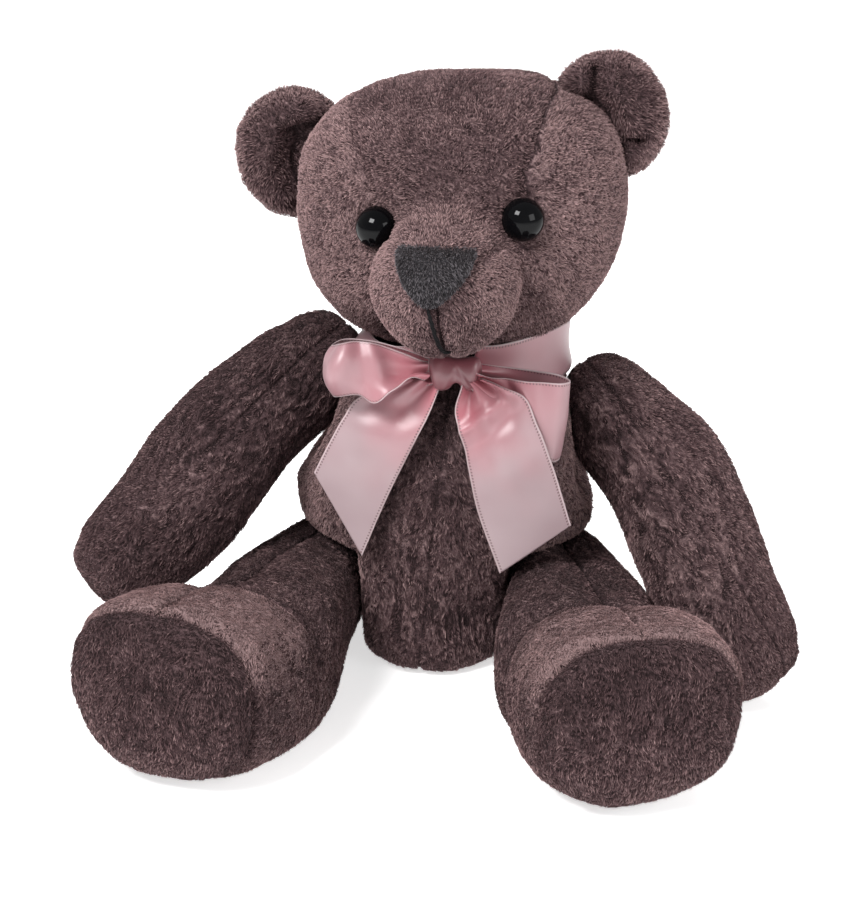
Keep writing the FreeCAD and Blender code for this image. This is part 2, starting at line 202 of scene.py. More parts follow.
def mesh_object(name, points, faces):
    mesh = bpy.data.meshes.new(name)
    mesh.from_pydata((points * MM).tolist(), [], [tuple(f) for f in faces])
    mesh.validate()
    mesh.update()
    mesh.polygons.foreach_set("use_smooth", np.ones(len(mesh.polygons), bool))
    made = bpy.data.objects.new(name, mesh)
    bpy.context.scene.collection.objects.link(made)
    return made


def apply_modifiers(thing):
    evaluated = thing.evaluated_get(bpy.context.evaluated_depsgraph_get())
    mesh = bpy.data.meshes.new_from_object(evaluated)
    thing.modifiers.clear()
    old, thing.data = thing.data, mesh
    bpy.data.meshes.remove(old)
    mesh.polygons.foreach_set("use_smooth", np.ones(len(mesh.polygons), bool))


def vertices(thing):
    co = np.empty(len(thing.data.vertices) * 3, np.float32)
    thing.data.vertices.foreach_get("co", co)
    return co.reshape(-1, 3).astype(float) / MM


def normals(thing):
    found = np.empty(len(thing.data.vertices) * 3, np.float32)
    thing.data.vertex_normals.foreach_get("vector", found)
    return found.reshape(-1, 3).astype(float)


def set_vertices(thing, points):
    thing.data.vertices.foreach_set("co", (points * MM).astype(np.float32).ravel())
    thing.data.update()


def gradient(field, points, step=0.15):
    centre = field(points)
    slope = np.stack([(field(points + step * axis) - centre) / step for axis in (X, Y, Z)], 1)
    return centre, slope


def skin(name, field, low, high, voxel=VOXEL):
    """A closed mesh on the surface where field is zero, low and high being its box."""
    low, high = np.array(low, float) - 3, np.array(high, float) + 3
    counts = np.ceil((high - low) / voxel).astype(int) + 1
    ranges = [low[i] + voxel * np.arange(counts[i]) for i in range(3)]
    points = np.stack(np.meshgrid(*ranges, indexing="ij"), -1).reshape(-1, 3)
    values = field(points).reshape(counts)
    grid = openvdb.FloatGrid(float(values.max()))
    grid.copyFromArray(values.astype(np.float32))
    corners, quads = grid.convertToQuads(isovalue=0.0)
    made = mesh_object(name, low + corners.astype(float) * voxel, quads.tolist())
    modifier = made.modifiers.new("finer", "SUBSURF")
    modifier.levels = modifier.render_levels = 1
    apply_modifiers(made)
    points = vertices(made)
    for _ in range(3):
        value, slope = gradient(field, points)
        size = np.maximum((slope ** 2).sum(1), 0.05)
        points -= np.clip(value / size, -1, 1)[:, None] * slope
    set_vertices(made, points)
    return made


def ringed(rings, start, end):
    """Points and faces of a closed surface through equal rings, from one end point to the other."""
    turns, last = len(rings[0]), (len(rings) - 1) * len(rings[0])
    points = np.concatenate(list(rings) + [[start], [end]])
    faces = []
    for i in range(len(rings) - 1):
        for j in range(turns):
            k = (j + 1) % turns
            faces.append((i * turns + j, i * turns + k, (i + 1) * turns + k, (i + 1) * turns + j))
    for j in range(turns):
        k = (j + 1) % turns
        faces.append((len(points) - 2, k, j))
        faces.append((len(points) - 1, last + j, last + k))
    return points, faces


def travelled(points):
    """How far along a line each of its points lies."""
    return np.concatenate([[0], np.cumsum(np.linalg.norm(np.diff(points, axis=0), axis=1))])


# Plush covers

def stirred(points):
    """The points moved about a little, so that locks of pile bend."""
    return points + 1.2 * noise_vectors(points, 4.6, 11)


def laid(flow, normal):
    """The flow's direction along the surface."""
    return unit(flow - (flow * normal).sum(1, keepdims=True) * normal)


def tuft(points, flow, normal):
    """Locks of pile from -1 to 1, long along the flow and short across it."""
    along = laid(flow, normal)
    swirl = stirred(points)
    offset = (swirl * along).sum(1, keepdims=True) * along
    return 0.85 * noise(swirl - 0.5 * offset, 0.95, 6) + 0.4 * noise(swirl - 0.5 * offset, 0.5, 7)


def brushed(points):
    """Patches where the pile was stroked one way or the other, from -1 to 1."""
    bent = points + 4 * noise_vectors(points, 15, 71)
    return 0.55 * noise(bent, 17, 74) + 0.3 * noise(bent, 7.5, 75) + 0.15 * noise(bent, 3.2, 76)


def plush_relief(points, locks, seam, crease):
    """How far the surface of a cover moves out: lumps, puckered seams and locks of pile."""
    lumps = 0.55 * noise(points, 19, 3) + 0.30 * noise(points, 8, 4)
    groove = 1.1 * bump(seam, 0.8) + 0.5 * bump(seam, 3.2)
    pucker = 0.30 * bump(seam, 4.5) * noise(points, 3.4, 5)
    return lumps - crease * groove + pucker + 0.26 * locks


def number(thing, name, values):
    attribute = thing.data.attributes.new(name, "FLOAT", "POINT")
    attribute.data.foreach_set("value", values.astype(np.float32))


def nearest(lines):
    return np.min([np.abs(line) for line in lines], axis=0)


def grow(piece, flow, seams, tone, density, length, radius, material, seed, crease=1.0):
    """Pile on a piece: strands rooted all over it that lean along flow.

    density is in strands to a square millimetre, and crease says how deep the seams are.
    """
    mesh = piece.data
    mesh.calc_loop_triangles()
    triangles = np.empty(len(mesh.loop_triangles) * 3, np.int32)
    mesh.loop_triangles.foreach_get("vertices", triangles)
    triangles = triangles.reshape(-1, 3)
    points, normal = vertices(piece), normals(piece)
    corner = points[triangles]
    area = np.linalg.norm(np.cross(corner[:, 1] - corner[:, 0], corner[:, 2] - corner[:, 0]), axis=1) / 2
    count = int(area.sum() * density)
    rng = np.random.default_rng(seed)
    chosen = np.searchsorted(np.cumsum(area) / area.sum(), rng.random(count)).clip(0, len(area) - 1)
    a, b = rng.random(count), rng.random(count)
    over = a + b > 1
    a[over], b[over] = 1 - a[over], 1 - b[over]
    weights = np.stack([1 - a - b, a, b], 1)[:, :, None]
    root = (corner[chosen] * weights).sum(1)
    up = unit((normal[triangles[chosen]] * weights).sum(1))
    down = unit(flow(root))
    locks = tuft(root, down, up)
    aside = np.cross(up, laid(down, up))
    pull = tuft(root + 0.25 * aside, down, up) - tuft(root - 0.25 * aside, down, up)
    lean = down + 0.5 * noise_vectors(root, 11.0, 21) + 0.7 * noise_vectors(stirred(root), 2.4, 31)
    lean += 0.16 * rng.standard_normal((count, 3))
    lean -= (lean * up).sum(1, keepdims=True) * up
    seam = nearest(seams(root))
    cropped = 1 - 0.85 * min(crease, 1) * bump(seam, 0.6)
    tall = length * (0.75 + 0.5 * rng.random(count)) * (1 + 0.5 * locks) * cropped
    # a strand starts under the surface, rises less as it leans more, and thins to its tip
    steps = np.array([-0.12, 0.3, 0.68, 1.0])
    taper = np.array([1.0, 1.0, 0.8, 0.35])
    risen = tall[:, None] * steps * (1 - 0.42 * steps.clip(0))
    leant = tall[:, None] * steps.clip(0) ** 1.6 * 0.6
    parted = 0.34 * pull.clip(-1, 1)[:, None] * steps.clip(0)
    strand = (root[:, None, :] + up[:, None, :] * risen[:, :, None]
              + lean[:, None, :] * leant[:, :, None] + aside[:, None, :] * parted[:, :, None])
    thick = radius * (0.7 + 0.6 * rng.random(count))[:, None] * taper
    strands = bpy.data.hair_curves.new(piece.name + "_pile")
    strands.add_curves([len(steps)] * count)
    strands.attributes["position"].data.foreach_set("vector", (strand * MM).astype(np.float32).ravel())
    widths = strands.attributes.get("radius") or strands.attributes.new("radius", "FLOAT", "POINT")
    widths.data.foreach_set("value", (thick * MM).astype(np.float32).ravel())
    shade = strands.attributes.new("tone", "FLOAT", "CURVE")
    values = tone_of(root, locks, seam, tone, crease) + 0.03 * rng.standard_normal(count)
    shade.data.foreach_set("value", values.astype(np.float32))
    strands.materials.append(material)
    made = bpy.data.objects.new(piece.name + "_pile", strands)
    bpy.context.scene.collection.objects.link(made)
    made.parent = piece
    return count


def tone_of(points, locks, seam, tone, crease):
    """The pile's shade from 0, dark, to 1, light, with painted shade in the seams' grooves and in the cracks
    between locks.
    """
    # painted shade: the seams' grooves and the cracks between locks are darkened
    dark = 0.5 * min(crease, 1) * bump(seam, 0.55) + 0.5 * np.clip(-locks - 0.2, 0, None)
    return 0.52 + 0.11 * brushed(points) + 0.38 * locks + 0.17 * tone(points) - dark


def cover(name, field, low, high, flow, seams, tone, body, replaced, seed, length=0.85,
          relief=1.0, crease=1.0):
    """A plush cover with its pile. field, flow, seams and tone are functions of points.

    relief scales the lumps and tufts of its surface, and crease the depth of its seams.
    """
    made = skin(name, lambda p: field(p) + PILE_INSET, low, high)
    points, normal = vertices(made), normals(made)
    locks = tuft(points, unit(flow(points)), normal)
    seam = nearest(seams(points))
    set_vertices(made, points + (relief * plush_relief(points, locks, seam, crease))[:, None] * normal)
    number(made, "tone", tone_of(points, locks, seam, tone, crease))
    made.data.materials.append(PLUSH)
    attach(made, body)
    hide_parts(*replaced)
    if FUR:
        count = grow(made, flow, seams, tone, PILE_DENSITY, length, PILE_RADIUS, PILE, seed, crease)
        print(name, len(points), "points", count, "strands")
    return made


# Materials

def material(name):
    made = bpy.data.materials.new(name)
    made.use_nodes = True
    return made, made.node_tree, made.node_tree.nodes["Principled BSDF"]


def feed(tree, node, inputs):
    """Sets a node's inputs, each to a number, a colour or another node's output."""
    for key, value in inputs.items():
        if isinstance(value, bpy.types.NodeSocket):
            tree.links.new(value, node.inputs[key])
        else:
            node.inputs[key].default_value = value


def add(tree, kind, inputs=(), **settings):
    made = tree.nodes.new(kind)
    for key, value in settings.items():
        setattr(made, key, value)
    feed(tree, made, dict(inputs))
    return made


def ramp(tree, factor, stops):
    made = add(tree, "ShaderNodeValToRGB", {"Fac": factor})
    elements = made.color_ramp.elements
    while len(elements) < len(stops):
        elements.new(0.5)
    for element, (place, colour) in zip(elements, stops):
        element.position = place
        element.color = (*colour, 1)
    return made.outputs["Color"]


def object_noise(tree, scale, detail=2.0, distortion=0.0):
    place = add(tree, "ShaderNodeTexCoord").outputs["Object"]
    return add(tree, "ShaderNodeTexNoise",
               {"Vector": place, "Scale": scale, "Detail": detail, "Distortion": distortion}).outputs["Fac"]


def stored(tree, name):
    """A number that the mesh or the strands hold at each point."""
    return add(tree, "ShaderNodeAttribute", attribute_name=name).outputs["Fac"]


def sums(tree, operation, *values):
    return add(tree, "ShaderNodeMath", dict(enumerate(values)), operation=operation).outputs[0]


def blend(tree, amount, first, second, way="MIX"):
    return add(tree, "ShaderNodeMix", {"Factor": amount, 6: first, 7: second},
               data_type="RGBA", blend_type=way).outputs[2]


def embossed(tree, height, strength, distance):
    return add(tree, "ShaderNodeBump",
               {"Height": height, "Strength": strength, "Distance": distance}).outputs["Normal"]


SKIN_SHADE = (0.72, 0.70, 0.71, 1) if FUR else (1, 1, 1, 1)      # the pile shades its own backing


def plush_material(name, stops, is_pile, fine):
    """Plush whose shade comes from the mesh's own tone, with finer grain added here."""
    made, tree, shader = material(name)
    grain = object_noise(tree, fine, distortion=0.8)
    speckle = sums(tree, "SUBTRACT", grain, 0.5)
    amount = 0.16 if is_pile else 0.5
    colour = ramp(tree, sums(tree, "MULTIPLY_ADD", speckle, amount, stored(tree, "tone")), stops)
    if is_pile:
        # painted shade and light: each strand is painted darker at its root, down in the pile, and lighter
        # at its tip
        height = add(tree, "ShaderNodeHairInfo").outputs["Intercept"]
        shade = ramp(tree, height, [(0.0, (0.22, 0.20, 0.21)), (1.0, (1.42, 1.36, 1.36))])
        colour = blend(tree, 1.0, colour, shade, "MULTIPLY")
    else:
        colour = blend(tree, 1.0, colour, SKIN_SHADE, "MULTIPLY")
        feed(tree, shader, {"Normal": embossed(tree, grain, 0.5, 0.0006)})
    feed(tree, shader, {"Base Color": colour, "Roughness": 0.85, "Specular IOR Level": 0.2,
                        "Sheen Weight": 0.15, "Sheen Roughness": 0.45,
                        "Sheen Tint": (0.85, 0.62, 0.63, 1)})
    return made


PLUSH_STOPS = [(0.15, (0.022, 0.011, 0.012)), (0.5, (0.098, 0.058, 0.061)), (0.85, (0.33, 0.225, 0.22))]
PLUSH = plush_material("plush", PLUSH_STOPS, False, 900.0)
PILE = plush_material("plush_pile", PLUSH_STOPS, True, 900.0)
NOSE_STOPS = [(0.2, (0.006, 0.006, 0.007)), (0.5, (0.028, 0.027, 0.030)), (0.8, (0.12, 0.115, 0.125))]
NOSE_CLOTH = plush_material("nose_cloth", NOSE_STOPS, False, 1100.0)
NOSE_PILE = plush_material("nose_pile", NOSE_STOPS, True, 1100.0)


# Head

def muzzle_edge(q):
    """Zero where the muzzle meets the skull, in millimetres on either side."""
    return ball(q, MUZZLE_CENTRE, MUZZLE) - ball(q, np.zeros(3), SKULL)


def head_core(q):
    """The head without its ears, in its own frame."""
    power = 2 + 0.55 * np.clip(q[:, 2] / 22, 0, 1)[:, None]
    k = (np.abs(q / SKULL) ** power).sum(1) ** (1 / power[:, 0])
    d = (k - 1) * SKULL[1]
    d = join(d, ball(q, MUZZLE_CENTRE, MUZZLE), 5)
    d += 0.9 * bump(muzzle_edge(q), 2.6) * np.clip((2 - q[:, 2]) / 8, 0, 1) * np.clip(-q[:, 1] / 20, 0, 1)
    for centre, width, out in HEAD_LUMPS:
        d -= out * bump(np.linalg.norm(q - centre, axis=1), width)
    return both(d, HEAD_BASE - q[:, 2], 5)


def head_field(p):
    """The head with a hollow where each eye is pulled in."""
    q = HEAD.local(p)
    d = head_core(q)
    mirror = q * (-1, 1, 1)
    for side in (q, mirror):
        d += 1.8 * bump(np.linalg.norm(side - EYE, axis=1), 7.0)
    return d


def gusset_edge(q):
    """Distance outside the strip that runs over the head from the nose to the nape."""
    width = smooth_curve(q[:, 1], GUSSET_Y, GUSSET_X)
    slope = smooth_curve(q[:, 1] + 0.5, GUSSET_Y, GUSSET_X) - smooth_curve(q[:, 1] - 0.5, GUSSET_Y, GUSSET_X)
    return (np.abs(q[:, 0]) - width) / np.hypot(1, slope)


def head_seams(p):
    q = HEAD.local(p)
    gusset = np.hypot(gusset_edge(q), np.clip(1 - q[:, 2], 0, None)) + 0.5 * (q[:, 0] < 0)
    middle = np.hypot(q[:, 0] + 1.5 * (q[:, 1] < 0), np.clip(q[:, 2] + 6, 0, None))
    return [gusset, middle]


def head_tone(p):
    """The gusset is darker than the sides, and the muzzle's top is lighter."""
    q = HEAD.local(p)
    inside = 1 / (1 + np.exp(np.clip(gusset_edge(q) * 1.5, -30, 30)))
    muzzle = bump(np.linalg.norm((q - MUZZLE_CENTRE - (0, -8, 10)) / (1.5, 1, 1), axis=1), 13)
    return 0.6 - 1.0 * inside * (1 - muzzle) + 0.6 * muzzle


def head_flow(p):
    q = HEAD.local(p)
    away = q - (MUZZLE_CENTRE + (0, -26, 12))
    return unit(away) @ HEAD.turn.T - 0.5 * Z


def make_head():
    low, high = HEAD.origin - (50, 68, 42), HEAD.origin + (50, 42, 44)
    cover("head_cover", head_field, low, high, head_flow, head_seams, head_tone, "head",
          ["head_gusset", "head_left_panel", "head_right_panel", "head_stuffing"], 1)
    for seed, side in enumerate(SIDES, 2):
        make_ear(side, seed)


def from_line(x, z, start, end):
    """Distance from the line between two points."""
    start, run = np.array(start), np.subtract(end, start)
    along = (((x - start[0]) * run[0] + (z - start[1]) * run[1]) / (run @ run)).clip(0, 1)
    return np.hypot(x - start[0] - along * run[0], z - start[1] - along * run[1])


def make_ear(side, seed):
    centre, radii = np.array(EAR_CENTRE[side]), np.array(EAR_SIZE[side])
    inward = unit(-centre * (1, 0, 1))

    def fold(q):
        rel = q - centre
        away = np.min([from_line(rel[:, 0], rel[:, 2], *line) for line in EAR_FOLDS[side]], axis=0)
        return away + 2.5 * np.clip(rel[:, 1] + 1, 0, None)

    def field(p):
        q = HEAD.local(p)
        d = ball(q, centre, radii)
        hollow = ball(q, centre + (0, -7.8, -1) + inward * 5, radii * (0.58, 1.3, 0.6))
        d = both(d, -hollow, 3.0)
        d = d + 3.2 * bump(fold(q), 1.6) + 1.2 * bump(fold(q), 4)
        return both(d, -head_core(q) - 1.2, 1.5)

    def seams(p):
        q = HEAD.local(p)
        return [q[:, 1] - centre[1] - 0.5, np.clip(head_core(q), 0, None) + 0.4, fold(q)]

    def flow(p):
        q = HEAD.local(p) - centre
        return (0.7 * unit(q * (1, 0, 1)) + 0.4 * Y - 0.5 * Z) @ HEAD.turn.T

    def tone(p):
        # painted shade: the hollow inside the rim and the pinched folds are darker than the rim
        q = HEAD.local(p)
        rim = np.hypot((q - centre)[:, 0] / radii[0], (q - centre)[:, 2] / radii[2])
        return -0.7 + 1.4 * np.clip((rim - 0.72) / 0.2, 0, 1) - 1.4 * bump(fold(q), 1.8)

    place = HEAD.out(centre)
    cover(f"ear_{side}_cover", field, place - 21, place + 21, flow, seams, tone, "head",
          [f"ear_{side}_front", f"ear_{side}_back"], seed, length=1.0, relief=0.7)


# Body

def shoulder_room(p, side):
    """The space an arm turns in."""
    centre, axis = joint(f"shoulder_{side}", SIDES[side])
    rel = p - (centre - axis * (ARM_ROOT + JOINT_GAP))
    out = rel @ axis
    around = np.linalg.norm(rel - out[:, None] * axis, axis=1)
    floor = 0.04 * np.clip(around - 16.5, 0, None) ** 2
    return both(floor - out, around - 30, 2)


def hip_room(p, side):
    inner = HIP[0] - LEG_ROOT - JOINT_GAP
    y, z = p[:, 1] - HIP[1], p[:, 2]
    front = np.maximum(z - 33, y)
    around = np.hypot(y, z - HIP[2]) - 16.4
    under = np.maximum(y - 16.4, z - HIP[2])
    shape = join(join(front, around, 3), under, 3)
    return both(shape, inner - p[:, 0] * SIDES[side], 3)


def body_field(p):
    q = BODY.local(p)
    half_x = smooth_curve(q[:, 2], BODY_HEIGHTS, BODY_HALF_X)
    half_y = smooth_curve(q[:, 2], BODY_HEIGHTS, BODY_HALF_Y)
    d = (np.hypot(q[:, 0] / half_x, q[:, 1] / half_y) - 1) * np.minimum(half_x, half_y)
    d -= 4.2 * bump(q[:, 2] - 3, 12) * (q[:, 1] < 0) * bump(q[:, 0], 24)
    d = both(d, -p[:, 2] + PILE_INSET - 0.2, 3.5)
    d = both(d, (p - NECK) @ NECK_AXIS + JOINT_GAP, 5)
    for side in SIDES:
        d = both(d, -shoulder_room(p, side), 3)
        d = both(d, -hip_room(p, side), 4)
    return d


def body_seams(p):
    q = BODY.local(p)
    return [q[:, 0], p[:, 1] - 4]


def body_flow(p):
    return np.tile(-Z + 0.15 * Y, (len(p), 1))


def body_tone(p):
    """The belly is painted darker than the flanks as painted shade under the head and arms, and the flanks
    are painted lighter against the arms' shadow.
    """
    return -0.6 + 1.6 * np.clip((np.abs(p[:, 0]) - 14) / 20, 0, 1)


def make_body():
    cover("body_cover", body_field, (-52, -46, -2), (52, 46, 94), body_flow, body_seams, body_tone, "body",
          ["body_front_left_panel", "body_front_right_panel", "body_back_left_panel",
           "body_back_right_panel", "body_stuffing"], 4, crease=0.45)


# Arms and legs

def make_arm(side):
    centre, axis = joint(f"shoulder_{side}", SIDES[side])
    reach = unit(np.array(PAW[side]) - centre)
    across = unit(np.cross(reach, np.cross(axis, reach)))
    out = unit(axis - (axis @ reach) * reach)
    seam_end = {"left": 90, "right": 45}[side]      # the seam closes in under the pile from here

    def bow(s):
        """How far the arm's middle lies outside the line from shoulder to paw."""
        upper = ARM_BOW[side] * np.sin(np.clip(s / 64, 0, 1) * math.pi)
        return upper - ARM_HOOK[side] * smooth_curve(s, (45, 68, 90), (0, 0.45, 1))

    def field(p):
        rel = p - centre
        s = rel @ reach
        off = rel - s[:, None] * reach - bow(s)[:, None] * out
        radius = smooth_curve(s, ARM_ALONG, ARM_RADIUS)
        outer = off @ out / radius
        d = np.linalg.norm(off, axis=1) - radius - ARM_BELLY * bump(s - 50, 20) * np.clip(-outer, 0, 1)
        d -= ARM_TOP[side] * bump(s - 22, 16) * np.clip(outer, 0, 1)
        d = both(d, s - ARM_ALONG[-1], 6)
        d = both(d, ARM_ALONG[0] - s, 4)
        return both(d, -(rel @ axis + ARM_ROOT), 4)

    def seams(p):
        rel = p - centre
        return [np.hypot(rel @ across, np.clip(rel @ reach - seam_end, 0, None) * 0.2)]

    def flow(p):
        return np.tile(reach, (len(p), 1))

    def tone(p):
        # the arms' pile is darker than the body's, and the right arm is painted darker still as painted
        # shade
        return np.full(len(p), {"left": -0.4, "right": -0.9}[side])

    ends = np.array([centre, PAW[side]])
    cover(f"arm_{side}_cover", field, ends.min(0) - 24, ends.max(0) + 24, flow, seams, tone,
          f"arm_{side}", [f"arm_{side}_outer_panel", f"arm_{side}_inner_panel", f"arm_{side}_stuffing"],
          5 if side == "left" else 6, crease=0.6)


def make_leg(side):
    sign = SIDES[side]
    root = np.array((HIP[0] * sign, HIP[1], 0.0))
    splay = math.radians(LEG_SPLAY[side])
    reach = np.array((math.sin(splay) * sign, -math.cos(splay), 0.0))
    across = np.cross(reach, Z)

    def field(p):
        rel = p - root
        s, u = rel @ reach, rel @ across
        a = smooth_curve(s, LEG_ALONG, LEG_HALF_X)
        b = smooth_curve(s, LEG_ALONG, LEG_HALF_Z)
        power = 2 + 0.4 * np.clip(s / 45, 0, 1)
        v = rel[:, 2] - smooth_curve(s, LEG_ALONG, LEG_RISE)
        k = (np.abs(u / a) ** power + np.abs(v / b) ** power) ** (1 / power)
        d = (k - 1) * np.minimum(a, b)
        inner, upper = u * sign / a, v / b
        top = upper.clip(0, 1)
        # the ankle's folds and the shin above them
        ankle = np.clip(0.9 * upper + 0.5 * inner + 0.2, 0, 1)
        d += (3.6 * bump(s - 72, 8) + 2.2 * bump(s - 76.5, 2.0)) * ankle + 2.0 * bump(s - 54, 15) * top
        d += 4.5 * bump(s - 65, 13) * np.clip(0.9 * upper - 0.6 * inner, 0, 1)
        # the foot is lower on top than its rim
        instep = 2.0 * bump(s - 86, 16) * np.clip(0.7 * upper + 0.6 * inner, 0, 1)
        d += 3.6 * bump(s - 90, 22) * top ** 2 + instep
        d += LEG_WAIST[side] * bump(s - 56, 20) * np.clip(0.4 * upper - 0.9 * inner, 0, 1)
        d -= LEG_CALF[side] * bump(s - 75, 36) * inner.clip(0, 1)
        d += 2.0 * (-upper).clip(0, 1) * (-inner).clip(0, 1) * bump(s - 110, 16)
        d = both(d, s - LEG_END, 8)
        d = both(d, LEG_ALONG[0] - s, 4)
        d = both(d, PILE_INSET * 0.7 - p[:, 2], 3)
        return both(d, -LEG_ROOT - rel[:, 0] * sign, 4)

    def seams(p):
        rel = p - root
        s = rel @ reach
        return [s - SOLE_START, np.hypot(rel @ across, np.clip(s - SOLE_START, 0, None) * 3)]

    def flow(p):
        s = np.clip(((p - root) @ reach - 100) / 12, 0, 1)[:, None]
        return reach * (1 - s) - Z * s * 0.8

    def tone(p):
        """The upper side of a foot is lightest and its sole is darker."""
        rel = p - root
        s = rel @ reach
        top = np.clip((rel[:, 2] - 26) / 14, 0, 1) * np.clip((s - 74) / 14, 0, 1)
        sole = 1 / (1 + np.exp(np.clip((SOLE_START - s) * 1.5, -30, 30)))
        rim = bump(s - LEG_END + 3, 3) * np.clip((30 - rel[:, 2]) / 20, 0, 1)
        # painted shade in the fold over the ankle; the leg above the ankle is darker too
        fold = 0.8 * bump(s - 75, 4.5) * (rel[:, 2] > 22) + 0.4 * np.clip((72 - s) / 10, 0, 1)
        return 2.3 * top * (1 - sole) - 0.2 - 1.1 * sole + 0.9 * rim - fold

    ends = np.array([root, root + reach * LEG_END])
    low, high = ends.min(0) - (30, 20, 1), ends.max(0) + (30, 24, 54)
    parts = [f"leg_{side}_{part}" for part in ("sole", "outer_panel", "inner_panel", "stuffing")]
    cover(f"leg_{side}_cover", field, low, high, flow, seams, tone, f"leg_{side}", parts,
          7 if side == "left" else 8, crease=1.6)


# Face

def finish_piece(made, surface, body, slot, *replaced):
    made.data.materials.append(surface)
    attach(made, body)
    if replaced:
        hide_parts(*replaced)
    return made


def eye_material():
    made, tree, shader = material("eye_gloss")
    haze = object_noise(tree, 90.0, 3.0)
    colour = ramp(tree, haze, [(0.3, (0.0015, 0.0015, 0.002)), (0.8, (0.004, 0.004, 0.0045))])
    rough = add(tree, "ShaderNodeMapRange", {"Value": haze, "To Min": 0.03, "To Max": 0.10}).outputs[0]
    feed(tree, shader, {"Base Color": colour, "Roughness": rough, "Specular IOR Level": 0.13})
    return made


def make_eyes():
    gloss = eye_material()
    for side, sign in SIDES.items():
        outward = unit(HEAD.turn @ (EYE * (sign * 0.55, 1, 1)))
        place = HEAD.out(EYE * (sign, 1, 1)) - outward * 0.9
        aside = unit(np.cross(outward, Z))
        upward = np.cross(aside, outward)
        # a domed button: rings from the middle of the dome, over its rim, to the stem's end
        profile = [(5.5 * math.sin(a), 5.2 * math.cos(a)) for a in np.linspace(0.04, 1.45, 22)]
        profile += [(5.57, 0.35), (5.57, -0.15), (5.35, -0.6), (4.7, -1.1), (3.0, -1.5), (1.7, -1.9),
                    (1.6, -8.6), (1.3, -8.95)]
        turns = 56
        angle = np.arange(turns) * 2 * math.pi / turns
        circle = np.cos(angle)[:, None] * aside + np.sin(angle)[:, None] * upward
        rings = [place + outward * h + r * circle for r, h in profile]
        points, faces = ringed(rings, place + outward * 5.205, place - outward * 9)
        made = mesh_object(f"eye_{side}_button", points, faces)
        finish_piece(made, gloss, "head", "eye_plastic", f"eye_{side}")


def outside(x, z, start, end, bulge):
    """Distance outside the line from start to end, the inside being on its right."""
    start, run = np.array(start), np.subtract(end, start)
    length = np.hypot(*run)
    along = ((x - start[0]) * run[0] + (z - start[1]) * run[1]) / length ** 2
    across = ((z - start[1]) * run[0] - (x - start[0]) * run[1]) / length
    return across - bulge * (1 - (2 * np.clip(along, 0, 1) - 1) ** 2)


def make_nose():
    corners = [(-11.4, 4.8), (8.9, 3.2), (-3.4, -8.6)]

    def field(p):
        q = HEAD.local(p)
        x, z = q[:, 0], q[:, 2]
        d = ball(q, MUZZLE_CENTRE, MUZZLE) - 1.4
        sides = [outside(x, z, corners[i], corners[(i + 1) % 3], bulge)
                 for i, bulge in enumerate((1.0, 1.7, 2.0))]
        d = both(d, both(both(sides[0], sides[1], 2.2), sides[2], 2.2), 1.4)
        return both(d, q[:, 1] - MUZZLE_CENTRE[1] + 8, 1.0)

    centre = HEAD.out(MUZZLE_CENTRE + (0, -20, 6))
    made = skin("nose_pad", field, centre - 15, centre + 15, voxel=0.7)
    points, normal = vertices(made), normals(made)
    locks = tuft(points, np.tile(-Z, (len(points), 1)), normal)
    set_vertices(made, points + 0.22 * locks[:, None] * normal)
    number(made, "tone", 0.45 + 0.3 * locks)
    finish_piece(made, NOSE_CLOTH, "head", "nose_pile", "nose")
    if FUR:
        grow(made, lambda p: np.tile(-Z, (len(p), 1)), lambda p: [np.full(len(p), 9.0)],
             lambda p: np.zeros(len(p)), 10.0, 0.8, 0.075, NOSE_PILE, 9)


def surface_point(field, origin, direction):
    """Where a ray from inside leaves the field."""
    near, far = 0.0, 80.0
    for _ in range(40):
        middle = (near + far) / 2
        if field((origin + direction * middle)[None])[0] < 0:
            near = middle
        else:
            far = middle
    return origin + direction * near


def tube(path, radius, turns=10):
    """A tube of varying radius along a path, closed at both ends."""
    path, radius = np.array(path), np.array(radius)
    tangent = unit(np.gradient(path, axis=0))
    side = unit(np.cross(tangent, -Y + 0.01))
    up = np.cross(side, tangent)
    angle = np.arange(turns) * 2 * math.pi / turns
    rings = [path[i] + radius[i] * (np.cos(angle)[:, None] * side[i] + np.sin(angle)[:, None] * up[i])
             for i in range(len(path))]
    return ringed(rings, path[0], path[-1])


def thread_material():
    made, tree, shader = material("thread")
    fibre = object_noise(tree, 2600.0)
    colour = ramp(tree, fibre, [(0.3, (0.002, 0.002, 0.0025)), (0.7, (0.010, 0.009, 0.010))])
    feed(tree, shader, {"Base Color": colour, "Normal": embossed(tree, fibre, 0.6, 0.0002),
                        "Roughness": 0.75, "Specular IOR Level": 0.15})
    return made


